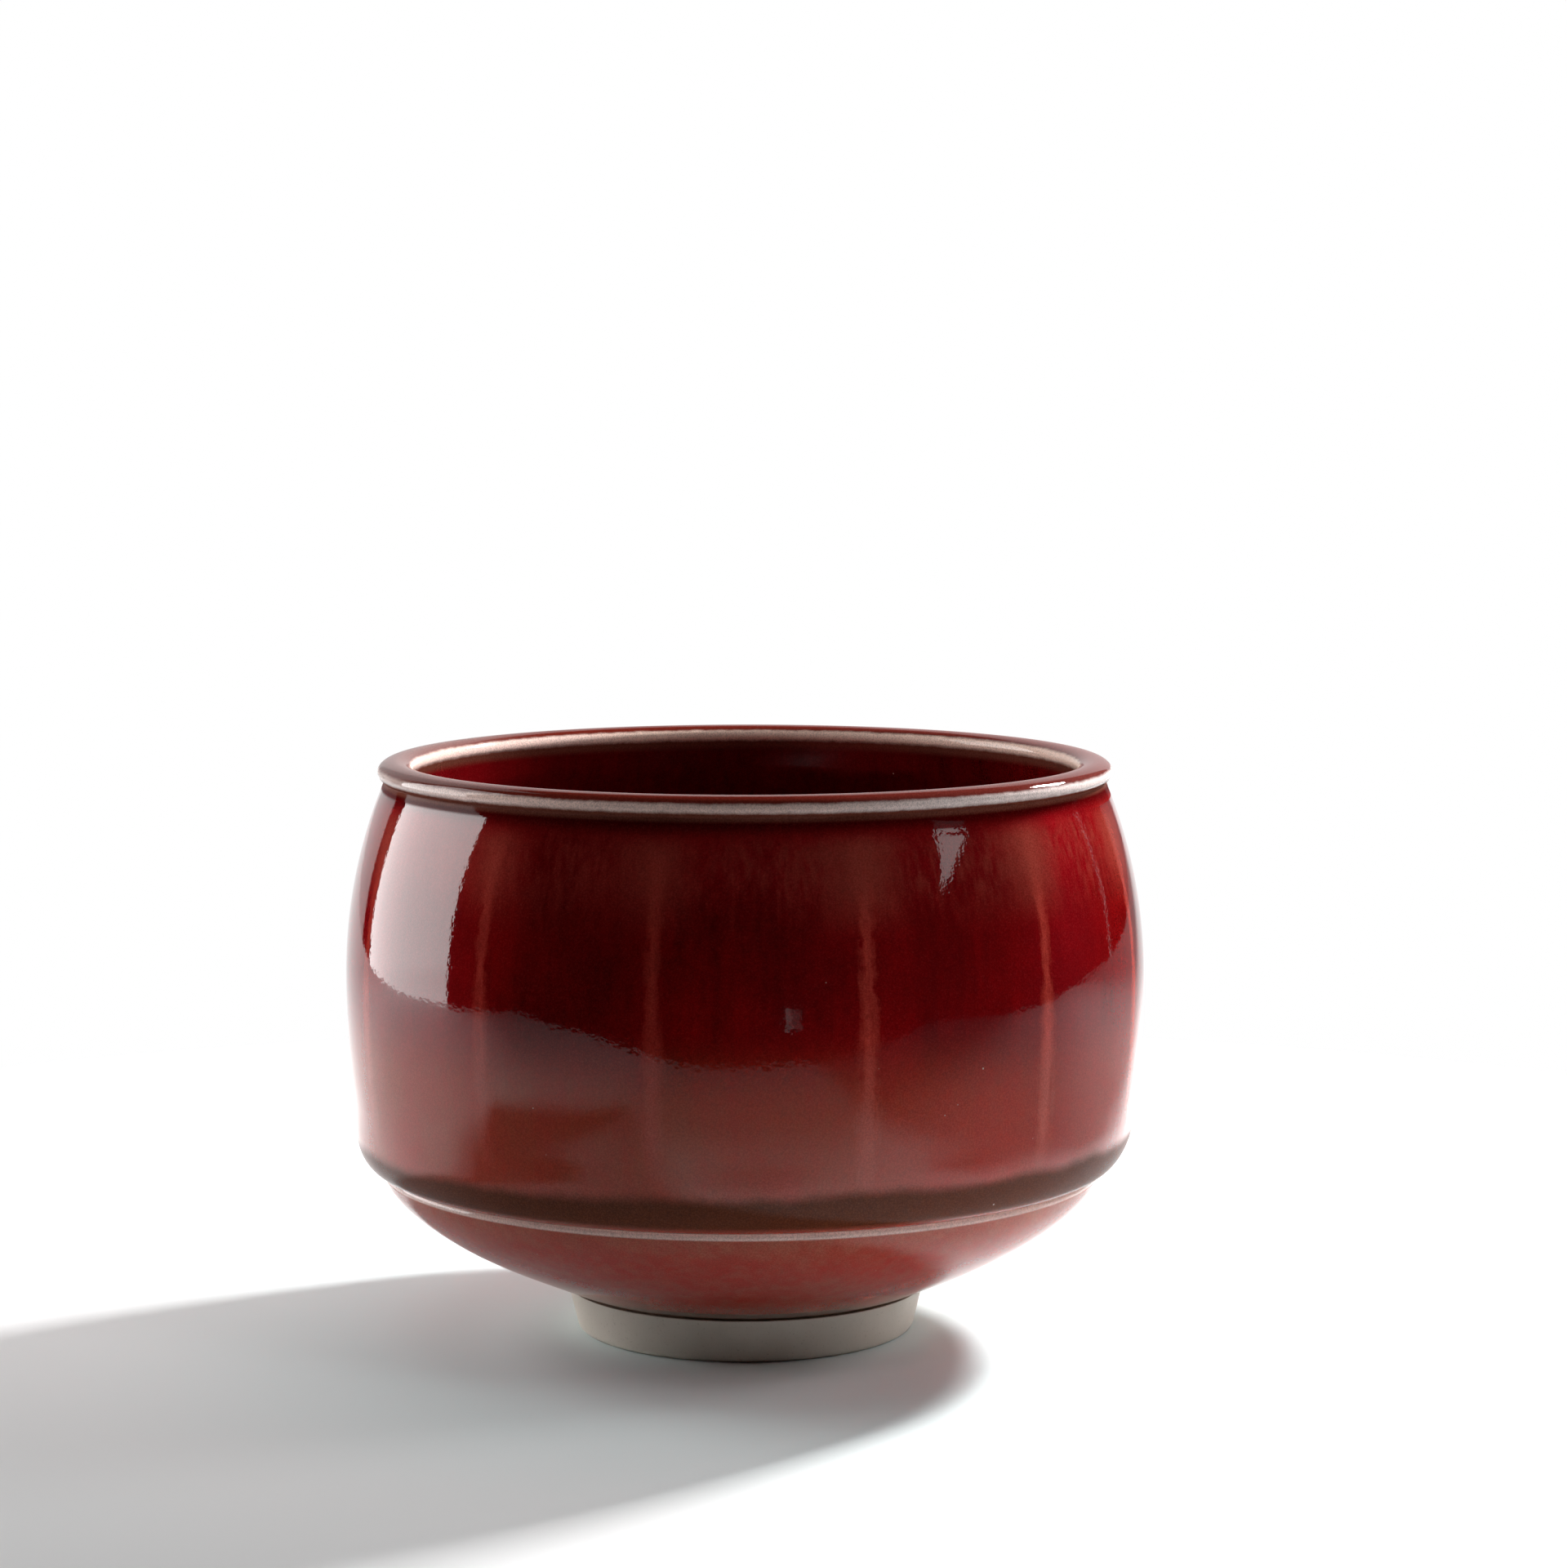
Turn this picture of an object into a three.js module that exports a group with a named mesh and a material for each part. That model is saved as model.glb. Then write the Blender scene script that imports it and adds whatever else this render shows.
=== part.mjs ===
// Faceted porcelain tea bowl with a copper-red glaze, standing on a bare foot ring.
// Millimetres, +Z up. The origin is on the bowl's axis, in the plane that the foot ring stands on.
// A profile is a list of stations, each a point at a radius and a height, with the glaze thickness there.
// Profiles run with the clay on their left: out under the bowl, up the outside, over the lip and down inside.
import * as THREE from 'three';

// Foot ring
const foot_height = 6.9;
const foot_top_radius = 28.1;
const foot_bottom_radius = 26.7;
const foot_wall = 5.4;
const foot_outer_bevel = 1.1;
const foot_bevel_middle = 0.33;
const foot_inner_bevel = 0.5;
const well_dome = 0.5;

// Groove between the foot ring and the glaze line
const groove_depth = 1.1;
const groove_height = 1.3;
const groove_fillet = 0.4;
const glaze_line_overhang = 0.9;

// Rounded underside and the fine ridge above it
const underside_rise = 19;
const underside_corner_inset = 4;
const underside_corner_drop = 8.4;
const ridge_bead_radius = 0.6;
const ridge_arc_start = -50;
const ridge_arc_end = 70;

// Shoulder, from the ridge out to the wall
const shoulder_rise = 7;
const shoulder_inset = 4.4;
const shoulder_step_out = 0.4;
const shoulder_step_up = 1.05;
const shoulder_corner_drop = 5;

// Wall: two arcs that meet where the bowl is widest
const widest_radius = 62.4;
const lower_wall_rise = 23.5;
const lower_wall_arc_radius = 165;
const upper_wall_rise = 29.7;
const upper_wall_arc_radius = 78;
const wall_thickness = 4.6;

// Facets pared down the wall
const facet_count = 13;
const facet_depth = 0.65;
const facet_fade = 5;
const facet_turn = 16.4;
const facet_wander = 1.15;
const facet_wander_waves = 4;

// Rolled lip
const lip_rise = 2.6;
const lip_inset = 1.85;
const lip_half_width = 2.45;
const lip_half_height = 1.45;
const lip_arc_start = -50;
const lip_arc_end = 205;

// Inside
const inside_neck_drop = 4.6;
const inside_corner_run = 17.4;
const inside_corner_rise = 6.4;
const floor_thickness = 5.2;

// Glaze coat
const glaze_thickness = 0.45;
const edge_glaze_thickness = 0.32;
const glaze_line_thickness = 0.6;
const facet_glaze_fill = 0.4;
const well_glaze_thickness = 0.35;
const well_glaze_margin = 0.4;

// Fineness of the surfaces
const columns_per_facet = 4;
const well_steps = 2;
const underside_steps = 6;
const ridge_steps = 2;
const shoulder_steps = 4;
const lower_wall_steps = 2;
const upper_wall_steps = 4;
const lip_outside_steps = 4;
const lip_inside_steps = 4;
const inside_wall_steps = 3;
const inside_corner_steps = 7;

// Places worked out from the sizes above
const columns = facet_count * columns_per_facet;
const foot_inner_radius = foot_bottom_radius - foot_wall;
const groove_radius = foot_top_radius - groove_depth;
const glaze_line_radius = foot_top_radius + glaze_line_overhang;
const glaze_line_height = foot_height + groove_height;
const ridge_height = foot_height + underside_rise;
const shoulder_top = ridge_height + shoulder_rise;
const widest_height = shoulder_top + lower_wall_rise;
const neck_height = widest_height + upper_wall_rise;
const lip_height = neck_height + lip_rise;
const inside_neck_height = lip_height - inside_neck_drop;
const floor_height = foot_height + well_dome + floor_thickness;
const ridge_radius = wallRadius(shoulder_top) - shoulder_inset;
const lip_radius = wallRadius(neck_height) - lip_inset;

const porcelain = new THREE.MeshStandardMaterial({ color: 0xcfc6b8, roughness: 0.75, metalness: 0 });
const oxblood = new THREE.MeshStandardMaterial({ color: 0x5a0a0c, roughness: 0.08, metalness: 0 });

function point(radius, height) {
  return new THREE.Vector2(radius, height);
}

function stations(points, coat) {
  return points.map((at) => ({ at, coat }));
}

// Points along a curve without its first one, so that stretches chain end to end.
function onward(curve, steps) {
  return curve.getPoints(steps).slice(1);
}

function ellipse(centre, half_width, half_height, start, end) {
  const first = THREE.MathUtils.degToRad(start);
  const last = THREE.MathUtils.degToRad(end);
  return new THREE.EllipseCurve(centre.x, centre.y, half_width, half_height, first, last);
}

// Radius of the clay wall at a height, before the facets are pared.
function wallRadius(height) {
  const arc = height < widest_height ? lower_wall_arc_radius : upper_wall_arc_radius;
  return widest_radius - arc + Math.sqrt(arc ** 2 - (height - widest_height) ** 2);
}

// Points on the wall, or on its parallel inner face, on the way from one height to another.
function wallPoints(from, to, steps, inset) {
  const points = [];
  for (let step = 1; step <= steps; step += 1) {
    const height = THREE.MathUtils.lerp(from, to, step / steps);
    points.push(point(wallRadius(height) - inset, height));
  }
  return points;
}

// The slightly domed ceiling of the foot's well, from the axis to the edge of its glaze.
function wellProfile() {
  const points = [];
  for (let step = 0; step <= well_steps; step += 1) {
    const share = step / well_steps;
    points.push(point((foot_inner_radius - well_glaze_margin) * share, foot_height + well_dome * (1 - share ** 2)));
  }
  return stations(points, well_glaze_thickness);
}

// The bare clay outside the well: the seat of the foot ring, then the groove.
function grooveProfile() {
  return stations([
    point(groove_radius, foot_height),
    point(groove_radius, glaze_line_height - groove_fillet),
    point(groove_radius + groove_fillet, glaze_line_height),
  ], 0);
}

// The underside, from the glaze line up to the ridge, and the ridge's bead.
function undersideProfile() {
  const glaze_line = point(glaze_line_radius, glaze_line_height);
  const bead_centre = point(ridge_radius - ridge_bead_radius, ridge_height);
  const bead = ellipse(bead_centre, ridge_bead_radius, ridge_bead_radius, ridge_arc_start, ridge_arc_end);
  const corner = point(ridge_radius - underside_corner_inset, ridge_height - underside_corner_drop);
  const underside = new THREE.QuadraticBezierCurve(glaze_line, corner, bead.getPoint(0));
  return [
    ...stations([glaze_line], glaze_line_thickness),
    ...stations(onward(underside, underside_steps), glaze_thickness),
    ...stations(onward(bead, ridge_steps), edge_glaze_thickness),
  ];
}

// The shoulder's overhang, which ends in line with the wall above it, and the wall up to the neck.
function wallProfile() {
  const shoulder_start = point(ridge_radius + shoulder_step_out, ridge_height + shoulder_step_up);
  const wall_start = point(wallRadius(shoulder_top), shoulder_top);
  const wall_lean = Math.asin(lower_wall_rise / lower_wall_arc_radius);
  const corner_inset = Math.tan(wall_lean) * shoulder_corner_drop;
  const corner = wall_start.clone().sub(point(corner_inset, shoulder_corner_drop));
  const shoulder = new THREE.QuadraticBezierCurve(shoulder_start, corner, wall_start);
  return stations([
    ...shoulder.getPoints(shoulder_steps),
    ...wallPoints(shoulder_top, widest_height, lower_wall_steps, 0),
    ...wallPoints(widest_height, neck_height, upper_wall_steps, 0),
  ], glaze_thickness);
}

// A stretch of the rolled lip, between two angles counted from its outermost point.
function lipProfile(start, end, steps) {
  const lip = ellipse(point(lip_radius, lip_height), lip_half_width, lip_half_height, start, end);
  return stations(lip.getPoints(steps), edge_glaze_thickness);
}

// The inside, from under the lip down the wall and round to the middle of the floor.
function insideProfile() {
  const inside_neck = point(wallRadius(inside_neck_height) - wall_thickness, inside_neck_height);
  const wall_end = point(widest_radius - wall_thickness, widest_height);
  const wall_corner = point(wall_end.x, floor_height + inside_corner_rise);
  const floor_corner = point(wall_end.x - inside_corner_run, floor_height);
  const corner = new THREE.CubicBezierCurve(wall_end, wall_corner, floor_corner, point(0, floor_height));
  return stations([
    inside_neck,
    ...wallPoints(inside_neck_height, widest_height, inside_wall_steps, wall_thickness),
    ...onward(corner, inside_corner_steps),
  ], glaze_thickness);
}

// The foot ring's section, with the clay on the left: inner wall, face it stands on, eased edge, outer wall.
function footSection() {
  return [
    point(foot_inner_radius, foot_height),
    point(foot_inner_radius, foot_inner_bevel),
    point(foot_inner_radius + foot_inner_bevel, 0),
    point(foot_bottom_radius - foot_outer_bevel, 0),
    point(foot_bottom_radius - foot_bevel_middle, foot_bevel_middle),
    point(foot_bottom_radius, foot_outer_bevel),
    point(foot_top_radius, foot_height),
  ];
}

// The azimuth of a column of points. Facet edges fall on whole multiples of columns_per_facet. The facets
// are pared by eye, so their edges drift a little from equal spacing.
function columnAzimuth(column) {
  const even = (column * 360) / columns;
  const drift = facet_wander * Math.sin(THREE.MathUtils.degToRad(facet_wander_waves * even));
  return THREE.MathUtils.degToRad(facet_turn + even + drift - 90);
}

// 1 along the middle of a facet and 0 on its two edges.
function facetMiddle(column) {
  const share = (column % columns_per_facet) / columns_per_facet;
  return 1 - (2 * share - 1) ** 2;
}

// How fully the facets are cut at a height: they fade out at the shoulder and under the neck.
function facetStrength(height) {
  const over_shoulder = THREE.MathUtils.smoothstep(height, shoulder_top, shoulder_top + facet_fade);
  const near_neck = THREE.MathUtils.smoothstep(height, neck_height - facet_fade, neck_height);
  return over_shoulder * (1 - near_neck);
}

// One ring of points, cut back in the middle of each facet, or a single point on the axis.
function ring(at, cut) {
  if (at.x === 0) {
    return [new THREE.Vector3(0, 0, at.y)];
  }
  const points = [];
  for (let column = 0; column < columns; column += 1) {
    const azimuth = columnAzimuth(column);
    const radius = at.x - cut * facetMiddle(column);
    points.push(new THREE.Vector3(radius * Math.cos(azimuth), radius * Math.sin(azimuth), at.y));
  }
  return points;
}

// The direction out of the clay at a station.
function outward(profile, index) {
  const here = profile[index].at;
  const before = profile[Math.max(index - 1, 0)].at;
  const after = profile[Math.min(index + 1, profile.length - 1)].at;
  if (here.x === 0) {
    return point(0, Math.sign(before.x - after.x));
  }
  const way_in = here.clone().sub(before).normalize();
  const way_out = after.clone().sub(here).normalize();
  const way = way_in.add(way_out).normalize();
  return point(way.y, -way.x);
}

function clayRings(profile, facets) {
  return profile.map(({ at }) => ring(at, facets * facetStrength(at.y)));
}

// The free face of the glaze over a profile, at each station's thickness.
function glazeRings(profile, facets) {
  return profile.map(({ at, coat }, index) => {
    const surface = at.clone().addScaledVector(outward(profile, index), coat);
    return ring(surface, facets * facetStrength(at.y));
  });
}

// The triangles between two rings. The diagonal leans the same way whichever ring comes first, so that the
// back of a glaze coat matches the clay under it triangle for triangle.
function joinRings(from, to) {
  const faces = [];
  for (let column = 0; column < columns; column += 1) {
    const next = (column + 1) % columns;
    if (from.length === 1 && to.length > 1) {
      faces.push([from[0], to[next], to[column]]);
    } else if (to.length === 1 && from.length > 1) {
      faces.push([from[column], from[next], to[0]]);
    } else if (from.length > 1 && from[0].z < to[0].z) {
      faces.push([from[column], from[next], to[next]], [from[column], to[next], to[column]]);
    } else if (from.length > 1) {
      faces.push([from[column], from[next], to[column]], [from[next], to[next], to[column]]);
    }
  }
  return faces;
}

// A closed body from rings that run once round its section and back to the first.
function body(name, rings, material) {
  const points = rings.flat();
  const place = new Map(points.map((vertex, index) => [vertex, index]));
  const faces = rings.flatMap((from, index) => joinRings(from, rings[(index + 1) % rings.length]));
  const geometry = new THREE.BufferGeometry().setFromPoints(points);
  geometry.setIndex(faces.flat().map((vertex) => place.get(vertex)));
  geometry.computeVertexNormals();
  const mesh = new THREE.Mesh(geometry, material);
  mesh.name = name;
  return mesh;
}

// A glaze coat: its free face, then the clay face under it taken back to the start.
function coat(name, free_face, clay_face) {
  return body(name, [...free_face, ...clay_face.toReversed()], oxblood);
}

const outside = [...undersideProfile(), ...wallProfile(), ...lipProfile(lip_arc_start, 90, lip_outside_steps)];
const inside = [...lipProfile(90, lip_arc_end, lip_inside_steps).slice(1), ...insideProfile()];
const well = wellProfile();
const crest = outside.length - 1;

const skin_clay = [...clayRings(outside, facet_depth), ...clayRings(inside, 0)];
const well_clay = clayRings(well, 0);
const groove_clay = clayRings(grooveProfile(), 0);
const outside_glaze = glazeRings([...outside, ...inside], facet_depth - facet_glaze_fill).slice(0, crest + 1);
const inside_glaze = glazeRings([...outside, ...inside], 0).slice(crest);

const bowl = new THREE.Group();
bowl.add(
  body('porcelain_body', [...well_clay, ...groove_clay, ...skin_clay], porcelain),
  body('foot_ring', footSection().map((at) => ring(at, 0)), porcelain),
  coat('outer_glaze', outside_glaze, skin_clay.slice(0, crest + 1)),
  coat('inner_glaze', inside_glaze, skin_clay.slice(crest)),
  coat('foot_well_glaze', glazeRings(well, 0), well_clay),
);

export default bowl;
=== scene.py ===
"""A faceted porcelain tea bowl with a deep copper-red glaze, standing on a bare foot ring."""

import math

import bmesh
import bpy
import numpy as np
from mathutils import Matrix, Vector, noise


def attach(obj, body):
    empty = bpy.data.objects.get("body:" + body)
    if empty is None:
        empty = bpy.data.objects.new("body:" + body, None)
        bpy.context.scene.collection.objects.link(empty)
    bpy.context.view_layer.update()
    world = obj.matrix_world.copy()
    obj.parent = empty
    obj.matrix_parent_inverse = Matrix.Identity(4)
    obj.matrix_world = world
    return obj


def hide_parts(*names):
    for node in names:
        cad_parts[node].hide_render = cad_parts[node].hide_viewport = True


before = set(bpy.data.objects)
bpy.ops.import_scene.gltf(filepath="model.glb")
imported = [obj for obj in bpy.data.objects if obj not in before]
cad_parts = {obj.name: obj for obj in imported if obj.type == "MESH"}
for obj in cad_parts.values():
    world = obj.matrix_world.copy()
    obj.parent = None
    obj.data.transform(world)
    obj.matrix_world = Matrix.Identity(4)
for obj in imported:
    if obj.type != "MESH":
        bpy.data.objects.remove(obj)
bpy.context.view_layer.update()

MM = 0.001

# Foot ring, in millimetres as all the sizes of the pot
FOOT_HEIGHT = 6.9
FOOT_TOP_RADIUS = 28.1
FOOT_BOTTOM_RADIUS = 26.7
FOOT_WALL = 5.4
FOOT_OUTER_BEVEL = 1.1
FOOT_OUTER_PULL = (0.2, 0.1)
FOOT_INNER_BEVEL = 0.5
WELL_DOME = 0.5

# Groove between the foot ring and the glaze line
GROOVE_DEPTH = 1.1
GROOVE_HEIGHT = 1.3
GROOVE_FILLET = 0.4
GROOVE_FILLET_BELLY = 0.12
GLAZE_LINE_OVERHANG = 0.9

# Underside and the fine ridge above it
UNDERSIDE_RISE = 19.0
UNDERSIDE_CORNER_INSET = 4.0
UNDERSIDE_CORNER_DROP = 8.4
RIDGE_BEAD_RADIUS = 0.6
RIDGE_ARC = (-50.0, 70.0)

# Shoulder
SHOULDER_RISE = 7.0
SHOULDER_INSET = 4.4
SHOULDER_STEP_OUT = 0.4
SHOULDER_STEP_UP = 1.05
SHOULDER_CORNER_DROP = 5.0

# Wall
WIDEST_RADIUS = 62.4
LOWER_WALL_RISE = 23.5
LOWER_WALL_ARC_RADIUS = 165.0
UPPER_WALL_RISE = 29.7
UPPER_WALL_ARC_RADIUS = 78.0
WALL_THICKNESS = 4.6

# Facets, with angles in degrees from the way to the front
FRONT_WAY = -90
FACET_COUNT = 13
FACET_DEPTH = 0.65
FACET_FADE = 5.0
FACET_TURN = 16.4
FACET_WANDER = 1.15
FACET_WANDER_WAVES = 4

# How clearly the edges of the facets show through the glaze, with a wave from edge to edge in radians
EDGE_WEIGHT = 0.66
EDGE_WEIGHT_SPREAD = 0.24
EDGE_WEIGHT_STEP = 0.857
EDGE_WEIGHT_START = -0.857

# Rolled lip
LIP_RISE = 2.6
LIP_INSET = 1.85
LIP_HALF_WIDTH = 2.45
LIP_HALF_HEIGHT = 1.45
LIP_ARC_START = -50.0
LIP_CREST_ANGLE = 90.0
LIP_ARC_END = 205.0
NECK_CORNER = 1.0

# Inside
INSIDE_NECK_DROP = 4.6
INSIDE_CORNER_RUN = 17.4
INSIDE_CORNER_RISE = 6.4
FLOOR_THICKNESS = 5.2

# Glaze
GLAZE_THICKNESS = 0.45
EDGE_GLAZE_THICKNESS = 0.32
GLAZE_LINE_THICKNESS = 0.6
GLAZE_EASING = 6
FACET_GLAZE_FILL = 0.4
GLAZE_FADE_RUN = 1.5
WELL_GLAZE_THICKNESS = 0.35
WELL_GLAZE_MARGIN = 0.4

# Hand-made unevenness
UNDERSIDE_SWAY = 0.6
SWAY_START = (9.0, 16.0)
SWAY_END = (27.0, 36.0)
GLAZE_WAVE_LENGTH = 9.0
GLAZE_WAVE_DEPTH = 0.012

# Fineness: steps along each line of a profile and columns across a facet
FOOT_OUTER_BEVEL_STEPS = 8
FOOT_INNER_BEVEL_STEPS = 6
FOOT_OUTER_WALL_STEPS = 16
FOOT_INNER_WALL_STEPS = 12
FOOT_RIM_STEPS = 6
WELL_STEPS = 10
UNDERSIDE_STEPS = 30
BEAD_STEPS = 8
SHOULDER_STEPS = 14
LOWER_WALL_STEPS = 14
UPPER_WALL_STEPS = 21
LIP_STEPS = 16
INSIDE_WALL_STEPS = 14
INSIDE_CORNER_STEPS = 34
FINE_COLUMNS = 24
HIDDEN_COLUMNS = 12

# Limits: a point that lies on the axis, points that are one, and an edge that stays sharp, in degrees
ON_AXIS = 0.01
SAME_PLACE = 0.001
SHARP_ANGLE = 50

# Places worked out from the sizes above
FOOT_INNER_RADIUS = FOOT_BOTTOM_RADIUS - FOOT_WALL
GROOVE_RADIUS = FOOT_TOP_RADIUS - GROOVE_DEPTH
GLAZE_LINE_HEIGHT = FOOT_HEIGHT + GROOVE_HEIGHT
RIDGE_HEIGHT = FOOT_HEIGHT + UNDERSIDE_RISE
SHOULDER_TOP = RIDGE_HEIGHT + SHOULDER_RISE
WIDEST_HEIGHT = SHOULDER_TOP + LOWER_WALL_RISE
NECK_HEIGHT = WIDEST_HEIGHT + UPPER_WALL_RISE
LIP_HEIGHT = NECK_HEIGHT + LIP_RISE
INSIDE_NECK_HEIGHT = LIP_HEIGHT - INSIDE_NECK_DROP
FLOOR_HEIGHT = FOOT_HEIGHT + WELL_DOME + FLOOR_THICKNESS


def wall_radius(height):
    arc = LOWER_WALL_ARC_RADIUS if height < WIDEST_HEIGHT else UPPER_WALL_ARC_RADIUS
    return WIDEST_RADIUS - arc + math.sqrt(arc**2 - (height - WIDEST_HEIGHT) ** 2)


RIDGE_RADIUS = wall_radius(SHOULDER_TOP) - SHOULDER_INSET
LIP_RADIUS = wall_radius(NECK_HEIGHT) - LIP_INSET

# Profiles: lines of points, each a radius and a height, with the clay on the left


def ellipse(centre, half_width, half_height, start, end, steps):
    angles = [math.radians(start + (end - start) * step / steps) for step in range(steps + 1)]
    x, y = centre
    return [Vector((x + half_width * math.cos(a), y + half_height * math.sin(a))) for a in angles]


def curve(points, steps):
    """A Bezier curve through its first and last point, pulled by those between."""
    line = []
    for step in range(steps + 1):
        share = step / steps
        level = [Vector(p) for p in points]
        while len(level) > 1:
            level = [a.lerp(b, share) for a, b in zip(level, level[1:])]
        line.append(level[0])
    return line


def wall(start, end, steps, inset):
    heights = [start + (end - start) * step / steps for step in range(1, steps + 1)]
    return [Vector((wall_radius(height) - inset, height)) for height in heights]


def underside_line():
    bead_centre = (RIDGE_RADIUS - RIDGE_BEAD_RADIUS, RIDGE_HEIGHT)
    bead = ellipse(bead_centre, RIDGE_BEAD_RADIUS, RIDGE_BEAD_RADIUS, *RIDGE_ARC, BEAD_STEPS)
    glaze_line = (FOOT_TOP_RADIUS + GLAZE_LINE_OVERHANG, GLAZE_LINE_HEIGHT)
    corner = (RIDGE_RADIUS - UNDERSIDE_CORNER_INSET, RIDGE_HEIGHT - UNDERSIDE_CORNER_DROP)
    return curve([glaze_line, corner, bead[0]], UNDERSIDE_STEPS) + bead[1:]


def wall_line():
    start = (RIDGE_RADIUS + SHOULDER_STEP_OUT, RIDGE_HEIGHT + SHOULDER_STEP_UP)
    end = Vector((wall_radius(SHOULDER_TOP), SHOULDER_TOP))
    lean = math.asin(LOWER_WALL_RISE / LOWER_WALL_ARC_RADIUS)
    corner = end - Vector((math.tan(lean) * SHOULDER_CORNER_DROP, SHOULDER_CORNER_DROP))
    lower = wall(SHOULDER_TOP, WIDEST_HEIGHT, LOWER_WALL_STEPS, 0)
    upper = wall(WIDEST_HEIGHT, NECK_HEIGHT + NECK_CORNER, UPPER_WALL_STEPS, 0)
    return curve([start, corner, end], SHOULDER_STEPS) + lower + upper


def lip_line(start, end):
    return ellipse((LIP_RADIUS, LIP_HEIGHT), LIP_HALF_WIDTH, LIP_HALF_HEIGHT, start, end, LIP_STEPS)


def inside_line():
    neck = Vector((wall_radius(INSIDE_NECK_HEIGHT) - WALL_THICKNESS, INSIDE_NECK_HEIGHT))
    end = Vector((WIDEST_RADIUS - WALL_THICKNESS, WIDEST_HEIGHT))
    wall_corner = (end.x, FLOOR_HEIGHT + INSIDE_CORNER_RISE)
    floor_corner = (end.x - INSIDE_CORNER_RUN, FLOOR_HEIGHT)
    corner = curve([end, wall_corner, floor_corner, (0, FLOOR_HEIGHT)], INSIDE_CORNER_STEPS)
    upright = wall(INSIDE_NECK_HEIGHT, WIDEST_HEIGHT, INSIDE_WALL_STEPS, WALL_THICKNESS)
    return [neck] + upright + corner[1:]


def well_line():
    reach = FOOT_INNER_RADIUS - WELL_GLAZE_MARGIN
    shares = [step / WELL_STEPS for step in range(WELL_STEPS + 1)]
    return [Vector((reach * share, FOOT_HEIGHT + WELL_DOME * (1 - share**2))) for share in shares]


def groove_line():
    top = GLAZE_LINE_HEIGHT
    return [
        Vector((GROOVE_RADIUS, FOOT_HEIGHT)),
        Vector((GROOVE_RADIUS, top - GROOVE_FILLET)),
        Vector((GROOVE_RADIUS + GROOVE_FILLET_BELLY, top - GROOVE_FILLET_BELLY)),
        Vector((GROOVE_RADIUS + GROOVE_FILLET, top)),
    ]


def foot_line():
    bevel_start = (FOOT_BOTTOM_RADIUS - FOOT_OUTER_BEVEL, 0)
    bevel_pull = (FOOT_BOTTOM_RADIUS - FOOT_OUTER_PULL[0], FOOT_OUTER_PULL[1])
    bevel_end = (FOOT_BOTTOM_RADIUS, FOOT_OUTER_BEVEL)
    outer_bevel = curve([bevel_start, bevel_pull, bevel_end], FOOT_OUTER_BEVEL_STEPS)
    inner_start = (FOOT_INNER_RADIUS, FOOT_INNER_BEVEL)
    inner_end = (FOOT_INNER_RADIUS + FOOT_INNER_BEVEL, 0)
    inner_bevel = curve([inner_start, (FOOT_INNER_RADIUS, 0), inner_end], FOOT_INNER_BEVEL_STEPS)
    outer_wall = curve([outer_bevel[-1], (FOOT_TOP_RADIUS, FOOT_HEIGHT)], FOOT_OUTER_WALL_STEPS)
    inner_wall = curve([(FOOT_INNER_RADIUS, FOOT_HEIGHT), inner_bevel[0]], FOOT_INNER_WALL_STEPS)
    rim = curve([inner_bevel[-1], outer_bevel[0]], FOOT_RIM_STEPS)
    return inner_wall + inner_bevel[1:] + rim[1:-1] + outer_bevel + outer_wall[1:]


# The glaze: its free face lies over the clay's line by its thickness


def outward(line, index):
    here = line[index]
    before = line[max(index - 1, 0)]
    after = line[min(index + 1, len(line) - 1)]
    if here.x < ON_AXIS:
        return Vector((0, 1 if before.y >= after.y and before.x > 0 else -1))
    way = Vector((0, 0))
    if (here - before).length > 0:
        way += (here - before).normalized()
    if (after - here).length > 0:
        way += (after - here).normalized()
    way.normalize()
    return Vector((way.y, -way.x))


def glaze_face(line, coats):
    return [point + outward(line, index) * coats[index] for index, point in enumerate(line)]


def eased(values, passes):
    for _ in range(passes):
        middle = [(a + 2 * b + c) / 4 for a, b, c in zip(values, values[1:], values[2:])]
        values = [values[0]] + middle + [values[-1]]
    return values


wall_part = wall_line()
inside_part = inside_line()
outside = underside_line() + wall_part + lip_line(LIP_ARC_START, LIP_CREST_ANGLE)
inside = lip_line(LIP_CREST_ANGLE, LIP_ARC_END)[1:] + inside_part
well = well_line()
groove = groove_line()

# The coat is thick at the glaze line and thin over the ridge and both sides of the lip
coats_as_run = (
    [GLAZE_LINE_THICKNESS]
    + [GLAZE_THICKNESS] * UNDERSIDE_STEPS
    + [EDGE_GLAZE_THICKNESS] * BEAD_STEPS
    + [GLAZE_THICKNESS] * len(wall_part)
    + [EDGE_GLAZE_THICKNESS] * (2 * LIP_STEPS + 1)
    + [GLAZE_THICKNESS] * len(inside_part)
)
skin = outside + inside
skin_glaze = glaze_face(skin, eased(coats_as_run, GLAZE_EASING))
crest = len(outside) - 1
well_face = glaze_face(well, [WELL_GLAZE_THICKNESS] * len(well))

# The pot's surfaces


def smooth_share(value, low, high):
    share = np.clip((value - low) / (high - low), 0, 1)
    return share * share * (3 - 2 * share)


def columns_way(azimuth):
    """Turns an even azimuth to the place where the hand-pared column stands."""
    drift = FACET_WANDER * np.sin(FACET_WANDER_WAVES * azimuth)
    return azimuth + np.radians(FACET_TURN + drift + FRONT_WAY)


def from_edge(azimuth):
    """0 on a facet's edge and 1 along its middle."""
    share = (azimuth / (2 * math.pi) * FACET_COUNT) % 1.0
    return 1 - np.abs(2 * share - 1)


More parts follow.
